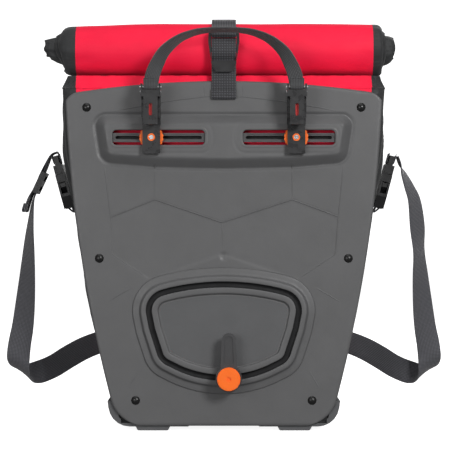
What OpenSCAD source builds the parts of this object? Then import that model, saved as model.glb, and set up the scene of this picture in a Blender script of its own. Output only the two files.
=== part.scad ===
// Roll-top pannier bag with a moulded back plate, two sliding rack hooks and a lower hook.
// The back plate faces -Y, the bag stands on its feet at Z = 0, and X is across the bag.

/* [Bag] */
// Front of the bag's bulge
bag_front = 117; // [112:1:122]
// Back face of the fabric, against the plate
bag_back = -76; // [-78:1:-74]
// Thickness of the coated fabric
fabric = 1.2; // [0.8:0.1:1.6]
// Height of the underside of the bag
bag_floor = 8; // [7:0.5:9]
// Height at which the collar starts
rim_height = 350; // [346:1:352]

/* [Back plate] */
// Half-width of the plate at its widest
plate_half_width = 161.5; // [158:0.5:165]
// Height of the top edge at the middle
plate_top = 357; // [355:0.5:358]
// Wall of the moulding
plate_wall = 3; // [2.5:0.1:3.5]
// How far the hook panel stands out of the plate
panel_rise = 8; // [7.5:0.1:8.5]
// How far the track ring stands out of the plate
ring_rise = 6; // [5.5:0.1:6.5]

/* [Rack hooks] */
// Half the distance between the two hooks
hook_spacing = 73.5; // [68:0.5:78]
// Height of the rail's centreline
rail_height = 299; // [298:0.5:300]
// Radius of the seat for a 16 mm rack tube
seat_radius = 8.05; // [8.02:0.01:8.1]
// Height of the rack tube's centre
seat_height = 332; // [331:0.5:333]

/* [Lower hook] */
// Radius of the track's lower arc
track_radius = 112; // [110:1:114]
// Height of the track's lowest point
track_low = 54.6; // [54:0.1:55]
// Width of the open groove
groove_width = 6; // [5.5:0.1:6.5]
// Sideways place of the lower hook on the track
lower_hook_x = 5; // [0:0.5:8]

/* [Closure] */
// Height of the middle of the rolled top
roll_height = 392; // [391:0.5:393]
// Half the length of the rolled fabric
roll_half_length = 168; // [160:1:172]
// Width of the closure webbing
strap_width = 25; // [24:0.5:26]

/* [Shoulder strap] */
// Width of the shoulder webbing
shoulder_width = 25; // [24:0.5:26]
// Thickness of the shoulder webbing
shoulder_thickness = 1.6; // [1.4:0.1:1.8]

/* [Hidden] */
$fn = 48;

// The plate's outline: its sides narrow from the shoulder down, and its top is a shallow arch.
shoulder_height = 335.6;
side_slope = 0.0434;
side_curve = 0.0003575;
top_radius = 990;
plate_low = 5;
plate_face = bag_back - 1 - plate_wall;
panel_face = plate_face - panel_rise;
ring_face = plate_face - ring_rise;
corner_steps = 6;

// The rails and the slots that show them.
slot_middle = 66.3;
slot_half = 46.9;
slot_height = 15;
rail_half = 53;
rail_bar = 9.2;
rail_slit = 3.6;
rail_back = panel_face + plate_wall;

// The hook's depths, from the plate outwards.
wheel_back = panel_face - 0.4;
wheel_front = wheel_back - 2.7;
hook_inner = wheel_front - 0.3;
hook_face = hook_inner - 3.6;
seat_y = hook_face - seat_radius;
lip_inner = seat_y - seat_radius;
lip_outer = lip_inner - 1.3;
hook_front = lip_outer - 4.4;
hook_half = 9.4;
cheek = 1.9;
pivot = [hook_face - 12, 344];
strap_pin = [pivot[0] - 7.2, 348.5];
wheel_radius = 12.2;
boss_radius = 3.8;
screw_radius = 1.5;

// The track: a groove with a wider pocket behind it for the nut.
track_centre = track_low + track_radius;
track_angle = asin(lower_hook_x / track_radius);
knob_z = track_centre - track_radius * cos(track_angle);
pocket_width = 11.5;
pocket_front = ring_face + 2;
pocket_back = pocket_front + 3.2;
arm_back = ring_face - 0.4;
arm_front = arm_back - 16;
finger_back = arm_front + 4.6;
knob_radius = 11.7;

// The roll and the strap over it.
roll_y = bag_back + 24;
roll_half_depth = 24;
roll_half_height = 28.3;
core_radius = 12;
buckle_back = bag_back - 3.6;
buckle_front = buckle_back - 4.8;
buckle_axis = [buckle_back - 2.4, 405];
buckle_bar = 2.3;

// The side buckles: a socket on the gusset, tilted outwards.
side_place = [164, 12, 229];
side_tilt = 15;

// The handle's left half as [x, y, z, twist], from the pin up to the middle.
handle_half = [
    [-73, -115, 352.5, 0], [-72, -115, 358, 4], [-70, -114.5, 365, 14], [-66.5, -113.5, 373, 27],
    [-61, -112, 383, 40], [-53, -110, 391.5, 52], [-44, -108, 398, 62], [-35.5, -106, 402, 68],
    [-26, -104.5, 405, 73], [-14, -103.5, 406.7, 77], [0, -103, 407.3, 79],
];
// The shoulder strap's right half, from the buckle to the middle of the front. Each row is a point
// and the direction of the webbing's width there. It turns over once, round a slanting fold.
fold_start = [221, 34.5, 70];
fold_radius = 13;
fold_line = [-0.8, 0, -0.6];
fold_out = [0, -1, 0];
fold_round = [0.6, 0, -0.8];
function fold_row(a) = [
    fold_start + fold_radius * ((cos(a) - 1) * fold_out + sin(a) * fold_round + 0.75 * a * PI / 180 * fold_line),
    0.6 * (cos(a) * fold_round - sin(a) * fold_out) - 0.8 * fold_line
];
shoulder_half = concat([
    [[184.5, 12, 283], [0, 1, 0]], [[187.6, 12, 274], [0, 1, 0]], [[191.4, 12, 264.5], [0, 1, 0]],
    [[197.5, 12.3, 250], [0, 1, 0]], [[203, 13.5, 235], [0.15, 1, 0]], [[206.5, 17, 208], [0.35, 0.93, 0]],
    [[208.5, 21, 182], [0.55, 0.83, 0]], [[210.5, 25, 154], [0.72, 0.69, 0]], [[213, 29, 127], [0.86, 0.5, 0]],
    [[216, 32.5, 102], [0.95, 0.3, 0]], [[219.5, 34.2, 83], [1, 0.1, 0]],
], [for (a = [0:15:180]) fold_row(a)], [
    [[185, 70, 56.5], [0.2, 0.1, 0.97]], [[171, 84, 65], [0.1, 0.3, 0.93]], [[156, 98, 73], [0, 0.45, 0.9]],
    [[140, 110, 79], [0, 0.4, 0.9]], [[122, 118, 83], [0, 0.2, 0.98]], [[100, 121, 85], [0, 0, 1]],
    [[70, 121, 86], [0, 0, 1]], [[35, 121, 86], [0, 0, 1]], [[0, 121, 86], [0, 0, 1]],
]);

function smooth(t) = let (c = max(0, min(1, t))) c * c * (3 - 2 * c);
function drop(z) = shoulder_height - min(z, shoulder_height);
function plate_half(z) = plate_half_width - side_slope * drop(z) - side_curve * drop(z) * drop(z);
function plate_arch(x) = plate_top - x * x / (2 * top_radius);
function bag_half(z) = plate_half(z) - 1.5 + 6 * smooth((z - 230) / 60);
function front(z) = z < 150
    ? bag_front - 34 * pow((150 - z) / 142, 2)
    : bag_front - 62 * pow((z - 150) / 200, 2);
function unit(v) = v / norm(v);
function arc(x, y, r, from, to, steps = 3) =
    [for (i = [0:steps]) let (a = from + (to - from) * i / steps) [x + r * cos(a), y + r * sin(a)]];
function mirror_x(points) = [for (i = [len(points) - 1:-1:0]) [-points[i][0], points[i][1]]];

// A corner between the points a and c at b, rounded to the radius r.
function fillet(a, b, c, r, steps) =
    let (u = unit(a - b), v = unit(c - b), half = acos(u * v) / 2)
    let (middle = b + unit(u + v) * r / sin(half))
    let (start = b + u * r / tan(half), end = b + v * r / tan(half))
    let (from = atan2(start[1] - middle[1], start[0] - middle[0]))
    let (to = atan2(end[1] - middle[1], end[0] - middle[0]))
    let (turn = to - from > 180 ? to - from - 360 : to - from < -180 ? to - from + 360 : to - from)
    arc(middle[0], middle[1], r, from, from + turn, steps);
// A closed outline whose points carry a radius each, [x, y, r].
function rounded(points, steps = corner_steps) = [
    for (i = [0:len(points) - 1])
        let (n = len(points), p = points[i], a = points[(i + n - 1) % n], c = points[(i + 1) % n])
            for (q = p[2] == 0 ? [[p[0], p[1]]]
                : fillet([a[0], a[1]], [p[0], p[1]], [c[0], c[1]], p[2], steps)) q
];
// The outline moved outwards by d, for an outline that runs anticlockwise.
function grown(points, d) = [
    for (i = [0:len(points) - 1])
        let (n = len(points), t = unit(points[(i + 1) % n] - points[(i + n - 1) % n]))
            points[i] + d * [t[1], -t[0]]
];

// The track's centreline, anticlockwise from its lower left.
top_arc_radius = 240;
track_top = 149.5;
lower_arc = [for (a = [-24:2:24]) [track_radius * sin(a), track_centre - track_radius * cos(a), 0]];
upper_arc = [for (x = [54:-9:-54]) [x, track_top - x * x / (2 * top_arc_radius), 0]];
track_line = rounded(concat(
    [[-63, 73, 15]], lower_arc, [[63, 73, 15]], [[73, 104, 0]], [[79.5, 136.5, 19]],
    upper_arc, [[-79.5, 136.5, 19]], [[-73, 104, 0]]
));

// The back plate's outline, anticlockwise.
plate_outline = rounded(concat(
    [for (z = [60:35:305]) [plate_half(z), z, 0]],
    [[plate_half(330) + 0.5, plate_arch(150), 12]],
    [for (x = [120:-30:-120]) [x, plate_arch(x), 0]],
    [[-plate_half(330) - 0.5, plate_arch(150), 12]],
    [for (z = [305:-35:60]) [-plate_half(z), z, 0]],
    [[-plate_half(14), plate_low, 26], [plate_half(14), plate_low, 26]]
));
panel_outline = rounded([
    [-125, 274, 14], [-70, 269.5, 0], [0, 268, 0], [70, 269.5, 0], [125, 274, 14], [132.5, 322, 11],
    [-132.5, 322, 11],
]);

// Draws an XZ outline as a slab from the depth near to the depth far.
module slab(points, near, far) {
    translate([0, far, 0]) rotate([90, 0, 0]) linear_extrude(far - near) polygon(points);
}
// A round bar along Y from near to far.
module peg(x, z, r, near, far) {
    translate([x, far, z]) rotate([90, 0, 0]) cylinder(r = r, h = far - near);
}
// A round bar along X, centred on x.
module pin(x, yz, r, half) {
    translate([x - half, yz[0], yz[1]]) rotate([0, 90, 0]) cylinder(r = r, h = 2 * half);
}
// A box given by its lowest and highest corners.
module block(low, high) {
    translate(low) cube(high - low);
}
// A horizontal slot with round ends, cut along Y.
module slot(x, z, half, height, r, near, far) {
    slab(rounded([
        [x - half, z - height / 2, r], [x + half, z - height / 2, r],
        [x + half, z + height / 2, r], [x - half, z + height / 2, r],
    ], 4), near, far);
}
// Draws a YZ outline as a slab along X between two places.
module profile(points, from, to) {
    translate([from, 0, 0]) rotate([90, 0, 90]) linear_extrude(to - from) polygon(points);
}

function split(a, b, c, d) = [[a, b, c], [a, c, d]];
// A closed skin over rings of n points each, with flat ends.
module skin(rings) {
    n = len(rings[0]);
    last = (len(rings) - 1) * n;
    sides = [for (i = [0:len(rings) - 2], j = [0:n - 1])
        for (f = split(i * n + j, (i + 1) * n + j, (i + 1) * n + (j + 1) % n, i * n + (j + 1) % n)) f];
    ends = [[for (j = [0:n - 1]) j], [for (j = [n - 1:-1:0]) last + j]];
    polyhedron(points = [for (r = rings, p = r) p], faces = concat(sides, ends));
}
// Webbing along rows of a point and the direction of its width.
function heading(rows, i) = unit(rows[min(i + 1, len(rows) - 1)][0] - rows[max(i - 1, 0)][0]);
// Both faces are split along the same diagonal, which keeps the thickness where the webbing twists.
module webbing(rows, width, thickness) {
    last = 4 * (len(rows) - 1);
    sides = [for (i = [0:len(rows) - 2], j = [0:3])
        let (a = 4 * i + j, d = 4 * i + (j + 1) % 4)
            for (f = j == 2 ? split(a + 4, d + 4, d, a) : split(a, a + 4, d + 4, d)) f];
    rings = [for (i = [0:len(rows) - 1])
        let (p = rows[i][0], t = heading(rows, i), k = unit(cross(t, rows[i][1])) * thickness / 2)
        let (w = unit(cross(k, t)) * width / 2)
            [p + w + k, p - w + k, p - w - k, p + w - k]];
    polyhedron(
        points = [for (r = rings, p = r) p],
        faces = concat(sides, [[0, 1, 2, 3], [last + 3, last + 2, last + 1, last]])
    );
}
// Rows from a route of [x, y, z, twist] that lies across Y, with its flat face to -Y where twist is 0.
function twisted(route) = [for (i = [0:len(route) - 1])
    let (a = route[max(i - 1, 0)], b = route[min(i + 1, len(route) - 1)])
    let (t = unit([b[0] - a[0], b[1] - a[1], b[2] - a[2]]), turn = route[i][3])
    let (face = -cos(turn) * [0, 1, 0] + sin(turn) * unit(cross([0, 1, 0], t)))
        [[route[i][0], route[i][1], route[i][2]], cross(t, face)]];
function both_halves(half) = concat(half, [for (i = [len(half) - 2:-1:0])
    [-half[i][0], half[i][1], half[i][2], half[i][3]]]);
function both_sides(half) = concat(half, [for (i = [len(half) - 2:-1:0])
    let (p = half[i][0], w = half[i][1]) [[-p[0], p[1], p[2]], [-w[0], w[1], w[2]]]]);

// One panel's outline at the height z, set in by d: 0 front, 1 left, 2 back, 3 right.
front_corner = 30;
back_corner = 12;
function panel_points(side, z, d) =
    let (h = bag_half(z) - front_corner, f = front(z) - front_corner, r = front_corner - d)
    let (g = bag_half(z) - back_corner, b = bag_back + back_corner, s = back_corner - d)
    side == 0 ? concat(arc(h, f, r, 45, 90), arc(-h, f, r, 90, 135))
    : side == 1 ? concat(arc(-h, f, r, 135, 180), arc(-g, b, s, 180, 225))
    : side == 2 ? concat(arc(-g, b, s, 225, 270), arc(g, b, s, 270, 315))
    : concat(arc(g, b, s, 315, 360), arc(h, f, r, 0, 45));
function reversed(points) = [for (i = [len(points) - 1:-1:0]) points[i]];
panel_levels = [bag_floor + fabric, 30, 60, 90, 120, 150, 190, 230, 270, 310, rim_height];
module panel(side) {
    skin([for (z = panel_levels)
        [for (p = concat(panel_points(side, z, 0), reversed(panel_points(side, z, fabric)))) [p[0], p[1], z]]]);
}
function whole_section(z, d) = [for (side = [0:3], p = panel_points(side, z, d)) p];

rivet_places = [[140, 330], [127, 176], [90, 31]];
module each_rivet() {
    for (place = rivet_places, side = [-1, 1]) translate([side * place[0], 0, place[1]]) children();
}

module back_plate() {
    color("dimgray") difference() {
        union() {
            slab(plate_outline, plate_face, plate_face + plate_wall);
            slab(panel_outline, panel_face, plate_face + 1);
            slab(grown(track_line, 17), plate_face - ring_rise / 2, plate_face + 1);
            slab(grown(track_line, 8.5), ring_face, plate_face + 1);
        }
        slab(grown(panel_outline, -plate_wall), rail_back, 0);
        for (side = [-1, 1]) {
            slot(side * slot_middle, rail_height, slot_half, slot_height, 4, panel_face - 1, 0);
            for (end = [-1, 1]) peg(side * slot_middle + end * 50, rail_height, 1.4, panel_face + 1, 0);
        }
        difference() {
            slab(grown(track_line, groove_width / 2), ring_face - 1, pocket_front + 1);
            slab(grown(track_line, -groove_width / 2), ring_face - 2, pocket_front + 2);
        }
        difference() {
            slab(grown(track_line, pocket_width / 2), pocket_front, pocket_back);
            slab(grown(track_line, -pocket_width / 2), pocket_front - 1, pocket_back + 1);
        }
        slab(grown(track_line, -10), ring_face - 1, ring_face + 2.5);
        peg(0, 178, 5, plate_face - 1, plate_face + 0.8);
        each_rivet() peg(0, 0, 2.1, plate_face - 1, 0);
    }
}
module plate_rivets() {
    color("black") each_rivet() {
        peg(0, 0, 2.1, plate_face, bag_back + fabric + 1.5);
        intersection() {
            translate([0, plate_face + 4.2, 0]) sphere(r = 6.2);
            peg(0, 0, 4.6, plate_face - 3, plate_face);
        }
    }
}
module rivet_washers() {
    color("silver") each_rivet() difference() {
        peg(0, 0, 4.8, bag_back + fabric, bag_back + fabric + 1);
        peg(0, 0, 2.1, bag_back, bag_back + fabric + 2);
    }
}
module hook_rail(side) {
    middle = side * slot_middle;
    color("darkslategray") difference() {
        slot(middle, rail_height, rail_half, rail_bar, 2, rail_back, rail_back + 2.6);
        slot(middle, rail_height, 44, rail_slit, rail_slit / 2 - 0.1, rail_back - 1, rail_back + 4);
        slot(middle, rail_height, 45.5, 6.4, 3, rail_back - 1, rail_back + 0.7);
        for (end = [-1, 1]) peg(middle + end * 50, rail_height, 1.4, rail_back - 1, rail_back + 4);
    }
}
module rail_screws() {
    color("silver") for (side = [-1, 1], end = [-1, 1]) {
        peg(side * slot_middle + end * 50, rail_height, 1.4, panel_face + 1.2, rail_back + 2.6);
        peg(side * slot_middle + end * 50, rail_height, 2.6, rail_back + 2.6, rail_back + 4.2);
    }
}

module bag_front_panel() {
    color("crimson") panel(0);
}
module bag_back_panel() {
    color("crimson") difference() {
        panel(2);
        each_rivet() peg(0, 0, 2.1, bag_back - 1, bag_back + fabric + 1);
    }
}
module gusset(side) {
    color("darkslategray") panel(side < 0 ? 1 : 3);
}
module bag_base() {
    color("darkslategray") translate([0, 0, bag_floor]) linear_extrude(fabric)
        polygon(whole_section(bag_floor + fabric, 0));
}
module base_guard(side) {
    outside = rounded([
        [119, 30, 0], [115.5, plate_low - 1, 22], [90, plate_low - 1, 0], [88, 0, 2], [57, 0, 2],
        [55, plate_low - 1, 0], [36, plate_low - 1, 0], [36, bag_floor - 0.4, 0], [100, bag_floor - 0.4, 0],
        [107, 13, 0], [110, 30, 0],
    ], 5);
    shell = [for (p = outside) [side * p[0], p[1]]];
    color("dimgray") difference() {
        slab(shell, bag_back + 0.4, 70);
        translate([0, 0, bag_floor - 0.4]) linear_extrude(60) polygon(grown(whole_section(30, 0), 0.3));
    }
}
module reflector(side) {
    place = [-58, -40];
    color("silver") mirror([side < 0 ? 1 : 0, 0, 0]) skin([for (z = [118:18:172])
        let (x = bag_half(z) + 0.2)
            [[x, place[1], z], [x, place[0], z], [x + 0.6, place[0], z], [x + 0.6, place[1], z]]
    ]);
}

// The collar narrows in depth from the rim to the underside of the roll.
collar_levels = [[rim_height + 0.2, 55, bag_back], [357, 20, bag_back + 3], [362.6, -28, bag_back + 9]];
collar_half = bag_half(rim_height);
function collar_ring(level, d, lower) = [
    for (p = [[1, 1], [-1, 1], [-1, 2], [1, 2]])
        [p[0] * (collar_half - d), p[1] == 1 ? level[1] - d : level[2] + d, level[0] - lower]
];
module roll_collar() {
    mouth = [bag_back + 12, -32];
    color("crimson") difference() {
        skin([for (level = collar_levels) collar_ring(level, 0, 0)]);
        skin([for (level = collar_levels) collar_ring(level, fabric, fabric)]);
        block([-collar_half + 3, mouth[0], 355], [collar_half - 3, mouth[1], 365]);
    }
}
ellipse = [for (a = [0:7.5:352.5])
    [roll_y + roll_half_depth * cos(a), roll_height + roll_half_height * sin(a)]];
module rolled_top() {
    color("crimson") difference() {
        profile(ellipse, -roll_half_length, roll_half_length);
        pin(0, [roll_y, roll_height], core_radius + 0.1, roll_half_length + 1);
    }
}
batten_half_height = 9;
module roll_core() {
    color("darkslategray") difference() {
        pin(0, [roll_y, roll_height], core_radius, roll_half_length + 13);
        roll_batten_shape(0.1);
    }
}
module roll_batten_shape(gap) {
    block(
        [-roll_half_length + 4 - gap, roll_y - 1.2 - gap, roll_height - batten_half_height - gap],
        [roll_half_length - 4 + gap, roll_y + 1.2 + gap, roll_height + batten_half_height + gap]
    );
}
module roll_batten() {
    color("white") roll_batten_shape(0);
}

// The closure strap runs from the front panel over the roll to the buckle's top bar.
strap_gap = 0.4;
strap_anchor = 282;
strap_thickness = 1.6;
// A band along a YZ line, with its thickness on the line's left-hand side.
module band(line, thickness, half) {
    n = len(line);
    other = [for (i = [0:n - 1])
        let (t = unit(line[min(i + 1, n - 1)] - line[max(i - 1, 0)])) line[i] + thickness * [t[1], -t[0]]];
    profile(concat(other, reversed(line)), -half, half);
}
module closure_strap() {
    rise = [for (z = [strap_anchor, 300, 320, 340, rim_height]) [front(z) + strap_gap, z]];
    over = [for (a = [20:10:130]) [
        roll_y + (roll_half_depth + strap_gap) * cos(a), roll_height + (roll_half_height + strap_gap) * sin(a)]];
    loop = arc(buckle_axis[0], buckle_axis[1], buckle_bar + strap_gap, 80, 260, 8);
    color("gray") band(concat(rise, over, loop), strap_thickness, strap_width / 2);
}
module closure_strap_anchor() {
    line = [[-76.1, 338], [-76.1, 357], [-77, 366], [-77.8, 391]];
    color("gray") band(line, -0.8, strap_width / 2);
}
module closure_buckle() {
    shell = rounded([
        [8.5, 366, 3], [12.5, 374, 0], [16, 397, 3], [15.5, 407, 3], [-15.5, 407, 3],
        [-16, 397, 3], [-12.5, 374, 0], [-8.5, 366, 3],
    ], 4);
    window = 12.8;
    color("black") {
        difference() {
            slab(shell, buckle_front, buckle_back);
            block([-window, buckle_front - 1, 391], [window, buckle_back + 1, 410]);
            block([-window, buckle_front - 1, 377], [window, buckle_back + 1, 386.5]);
            block([-window, buckle_front - 1, 386], [window, buckle_front + 1.8, 391.5]);
            block([-window, buckle_back - 0.7, 360], [window, buckle_back + 1, 377.5]);
        }
        pin(0, buckle_axis, buckle_bar, window + 1);
    }
}
module closure_strap_tail() {
    half = strap_width / 2;
    line = [[-84.2, 400], [-84.2, 384.5], [-80.1, 379], [-80.1, 364.5], [-82, 360], [-82, 338.5]];
    color("gray") {
        band(line, -1.4, half);
        block([-half, -84.8, 338.5], [half, -82, 349.5]);
    }
}

// One rack hook about X = 0: a clamp foot, a seat for the tube and two cheeks for the latch.
module hook_solid() {
    seat = [seat_y, seat_height];
    color("black") difference() {
        union() {
            block([-9, hook_face, 282.5], [9, hook_inner, 311.5]);
            block([-hook_half, hook_face, 311.5], [hook_half, panel_face - 0.5, 349]);
            pin(0, seat, seat_radius + 1.3, hook_half);
            block([-hook_half, lip_outer, 318], [hook_half, lip_inner, seat_height]);
            block([-hook_half, hook_face - 6, 338], [hook_half, hook_face, 349]);
            for (side = [-1, 1]) translate([side * (hook_half - cheek / 2), 0, 0]) {
                pin(0, pivot, 3.1, cheek / 2);
                profile([
                    [hook_face, 338], [hook_face, 346], [pivot[0], 347.1], [pivot[0] - 3.1, 344],
                    [lip_outer, 336], [lip_outer, 318], [lip_inner, 318], [lip_inner, seat_height],
                ], -cheek / 2, cheek / 2);
            }
        }
        pin(0, seat, seat_radius, hook_half + 1);
        block([-hook_half - 1, lip_inner, 270], [hook_half + 1, hook_face, seat_height]);
        peg(0, rail_height, boss_radius + 0.08, hook_face - 1, hook_inner + 1);
        peg(0, rail_height, wheel_radius + 0.4, hook_inner, panel_face);
        pin(0, pivot, 1.5, hook_half + 1);
    }
}
module lock_marker_solid() {
    color("red") block([-2.6, lip_outer - 0.7, 319], [2.6, lip_outer, 334]);
}
module latch_solid() {
    half = hook_half - cheek - 0.3;
    inner = hook_front + 3.2;
    color("black") difference() {
        union() {
            block([-half, hook_front, 311], [half, inner, 346.5]);
            block([-half, hook_front, 341.5], [half, pivot[0], 346.5]);
            pin(0, pivot, 3, half);
            block([-5, hook_front, 311], [5, seat_y + 1.5, 315]);
            for (side = [-1, 1]) block(
                [side > 0 ? half : -10, hook_front, 339], [side > 0 ? 10 : -half, inner - 0.2, 346.5]);
            for (side = [-1, 1]) block(
                [side > 0 ? 8.1 : -10, hook_front, 346], [side > 0 ? 10 : -8.1, hook_front + 5, 352]);
        }
        pin(0, pivot, 1.55, half + 2);
        pin(0, strap_pin, 3.9, 7.9);
        pin(0, strap_pin, 1.2, 11);
        slot(0, 326, 1.6, 12.6, 1.5, hook_front - 1, inner + 1);
    }
}
module latch_pivot_solid() {
    color("silver") pin(0, pivot, 1.5, hook_half + 1.2);
}
module handle_pin_solid() {
    color("silver") pin(0, strap_pin, 1.2, 11);
}
module clamp_nut_solid() {
    color("silver") difference() {
        block([-9, rail_back + 2.9, rail_height - 6], [9, rail_back + 5.8, rail_height + 6]);
        peg(0, rail_height, screw_radius, rail_back, rail_back + 8);
    }
}
module clamp_screw_solid() {
    color("silver") {
        peg(0, rail_height, screw_radius, hook_face + 0.6, rail_back + 6.4);
        difference() {
            peg(0, rail_height, 2.2, hook_face - 0.6, hook_face + 1.2);
            translate([0, hook_face + 0.4, rail_height]) rotate([90, 30, 0]) cylinder(r = 1.2, h = 2, $fn = 6);
        }
    }
}
module adjuster_wheel_solid() {
    color("darkorange") difference() {
        union() {
            peg(0, rail_height, wheel_radius, wheel_front, wheel_back);
            peg(0, rail_height, boss_radius, hook_face - 0.5, wheel_front + 0.1);
        }
        peg(0, rail_height, screw_radius + 0.06, hook_face - 2, 0);
        peg(0, rail_height, 2.4, hook_face - 2, hook_face + 1.3);
        for (a = [0:20:340])
            peg(13.2 * cos(a), rail_height + 13.2 * sin(a), 1.5, wheel_front - 1, wheel_back + 1);
    }
}
module at_hook(side) {
    translate([side * hook_spacing, 0, 0]) children();
}

module carry_handle() {
    route = both_halves(handle_half);
    color("gray") {
        webbing(twisted(route), 15, 1.8);
        for (side = [-1, 1]) at_hook(side) difference() {
            union() {
                pin(0, strap_pin, 2.8, 7.3);
                block([-7.3, strap_pin[0] - 1, strap_pin[1]], [7.3, strap_pin[0] + 1.6, 355]);
            }
            pin(0, strap_pin, 1.5, 8);
        }
    }
}

module track_nut() {
    color("silver") translate([0, 0, track_centre]) rotate([0, -track_angle, 0])
        difference() {
            union() {
                block([-5.5, pocket_front + 0.3, -track_radius - 4.7],
                    [5.5, pocket_back - 0.3, -track_radius + 4.7]);
                block([-4, ring_face + 0.3, -track_radius - 2.5], [4, pocket_front + 0.5, -track_radius + 2.5]);
            }
            peg(0, -track_radius, 1.55, ring_face - 1, pocket_back + 1);
        }
}
module lower_hook() {
    x = lower_hook_x;
    color("dimgray") difference() {
        union() {
            peg(x, knob_z, 13.3, arm_front, arm_back);
            slab(rounded([
                [x - 9, knob_z, 0], [x + 9, knob_z, 0], [x + 6.6, 100.5, 6.4], [x - 6.6, 100.5, 6.4],
            ]), arm_front, finger_back);
        }
        peg(x, knob_z, 1.6, arm_front - 1, arm_back + 1);
        slab(rounded([
            [x - 5, 69, 2], [x + 5, 69, 2], [x + 4, 97.5, 3.8], [x - 4, 97.5, 3.8],
        ]), arm_front - 1, arm_front + 1);
    }
}
module lower_knob() {
    color("darkorange") difference() {
        union() {
            peg(lower_hook_x, knob_z, knob_radius, arm_front - 7, arm_front - 0.3);
            peg(lower_hook_x, knob_z, knob_radius - 1, arm_front - 7.6, arm_front - 7);
        }
        peg(lower_hook_x, knob_z, 2.3, arm_front - 8, arm_front - 6);
        peg(lower_hook_x, knob_z, 1.5, arm_front - 4.4, arm_front);
    }
}
module lower_screw() {
    color("silver") peg(lower_hook_x, knob_z, 1.5, arm_front - 4.4, pocket_back - 0.4);
}

// The side buckle's parts stand along Z here, their flat faces towards X.
module at_side(side) {
    mirror([side < 0 ? 1 : 0, 0, 0]) translate(side_place) rotate([0, side_tilt, 0]) children();
}
module side_tab(side) {
    color("gray") at_side(side) {
        difference() {
            block([-3.4, -12, -4], [3.4, 12, 6]);
            block([-1.8, -13, -1.2], [1.8, 13, 4.4]);
            block([-4, -13, 2.2], [4, 13, 7]);
        }
        slab([[-1.7, -3.4], [-3.4, -3.4], [-9.8, -17], [-8.2, -17.6]], -12, 12);
    }
}
module side_socket(side) {
    color("black") at_side(side) difference() {
        profile([
            [-13.5, -0.8], [13.5, -0.8], [16.5, 12], [16.5, 36], [-16.5, 36], [-16.5, 12],
        ], -5.2, 5.2);
        block([-3.2, -13.2, 10], [3.2, 13.2, 37]);
        block([-3.2, -20, 15], [3.2, 20, 27.5]);
        block([1.5, -12.4, -2], [6, 12.4, 7]);
        block([-6, -12.4, -2], [-1.5, 12.4, 7]);
        block([-6, -12.4, 2.6], [6, 12.4, 7]);
        block([-6, -12.4, -2], [6, 12.4, -0.4]);
    }
}
module side_plug(side) {
    color("black") at_side(side) difference() {
        union() {
            block([-5, -16, 36.4], [5, 16, 46]);
            block([-2.6, -2.8, 12], [2.6, 2.8, 36.4]);
            block([-2.6, -16, 46], [2.6, 16, 56]);
        }
        block([-3, -12.6, 47], [3, 12.6, 51.5]);
        for (end = [-1, 1]) block([-3, end > 0 ? 7.5 : -13, 33], [3, end > 0 ? 13 : -7.5, 39]);
    }
}
prong_root = 37.2;
module prong(side, end) {
    arm = [[8, 17.5], [10, 16], [15.6, 22], [15.6, 26.4], [11.4, 27], [11, prong_root], [9.2, prong_root], [8.6, 27]];
    color("black") at_side(side) {
        profile([for (p = arm) [end * p[0], p[1]]], -2.7, 2.7);
        pin(0, [end * 10.1, prong_root], 1.2, 2.7);
    }
}

module shoulder_strap() {
    color("gray") webbing(both_sides(shoulder_half), shoulder_width, shoulder_thickness);
}
module strap_loop(side) {
    color("gray") at_side(side) difference() {
        block([-4.4, -12.2, 48], [4.8, 12.2, 60]);
        block([-2.8, -13, 47], [2.8, 13, 56.6]);
    }
}
module strap_slider() {
    color("black") translate([-195.2, 12.2, 255]) rotate([0, 25, 0]) difference() {
        block([-3.2, -16, -12], [3.2, 16, 12]);
        block([-1.2, -13, -13], [1.2, 13, 13]);
        block([-5, -13, -8.5], [5, 13, -3]);
        block([-5, -13, 3], [5, 13, 8.5]);
    }
}

back_plate();
plate_rivets();
rivet_washers();
hook_rail(-1);  // hook_rail_left
hook_rail(1);  // hook_rail_right
rail_screws();
bag_front_panel();
bag_back_panel();
gusset(-1);  // gusset_left
gusset(1);  // gusset_right
bag_base();
base_guard(-1);  // base_guard_left
base_guard(1);  // base_guard_right
reflector(-1);  // reflector_left
reflector(1);  // reflector_right
roll_collar();
rolled_top();
roll_core();
roll_batten();
closure_strap();
closure_strap_anchor();
closure_buckle();
closure_strap_tail();
at_hook(-1) hook_solid();  // hook_left
at_hook(1) hook_solid();  // hook_right
at_hook(-1) lock_marker_solid();  // lock_marker_left
at_hook(1) lock_marker_solid();  // lock_marker_right
at_hook(-1) latch_pivot_solid();  // latch_pivot_left
at_hook(1) latch_pivot_solid();  // latch_pivot_right
at_hook(-1) clamp_nut_solid();  // clamp_nut_left
at_hook(1) clamp_nut_solid();  // clamp_nut_right
at_hook(-1) clamp_screw_solid();  // clamp_screw_left
at_hook(1) clamp_screw_solid();  // clamp_screw_right
at_hook(-1) adjuster_wheel_solid();  // adjuster_wheel_left
at_hook(1) adjuster_wheel_solid();  // adjuster_wheel_right
at_hook(-1) latch_solid();  // latch_left
at_hook(1) latch_solid();  // latch_right
at_hook(-1) handle_pin_solid();  // handle_pin_left
at_hook(1) handle_pin_solid();  // handle_pin_right
carry_handle();
track_nut();
lower_hook();
lower_knob();
lower_screw();
side_tab(-1);  // side_tab_left
side_tab(1);  // side_tab_right
side_socket(-1);  // side_socket_left
side_socket(1);  // side_socket_right
side_plug(-1);  // side_plug_left
side_plug(1);  // side_plug_right
prong(-1, 1);  // prong_front_left
prong(-1, -1);  // prong_back_left
prong(1, 1);  // prong_front_right
prong(1, -1);  // prong_back_right
shoulder_strap();
strap_loop(-1);  // strap_loop_left
strap_loop(1);  // strap_loop_right
strap_slider();
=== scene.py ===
# Studio scene of a roll-top pannier bag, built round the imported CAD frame.
import math

import bpy
import bmesh
import numpy as np
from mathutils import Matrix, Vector, noise


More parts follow.
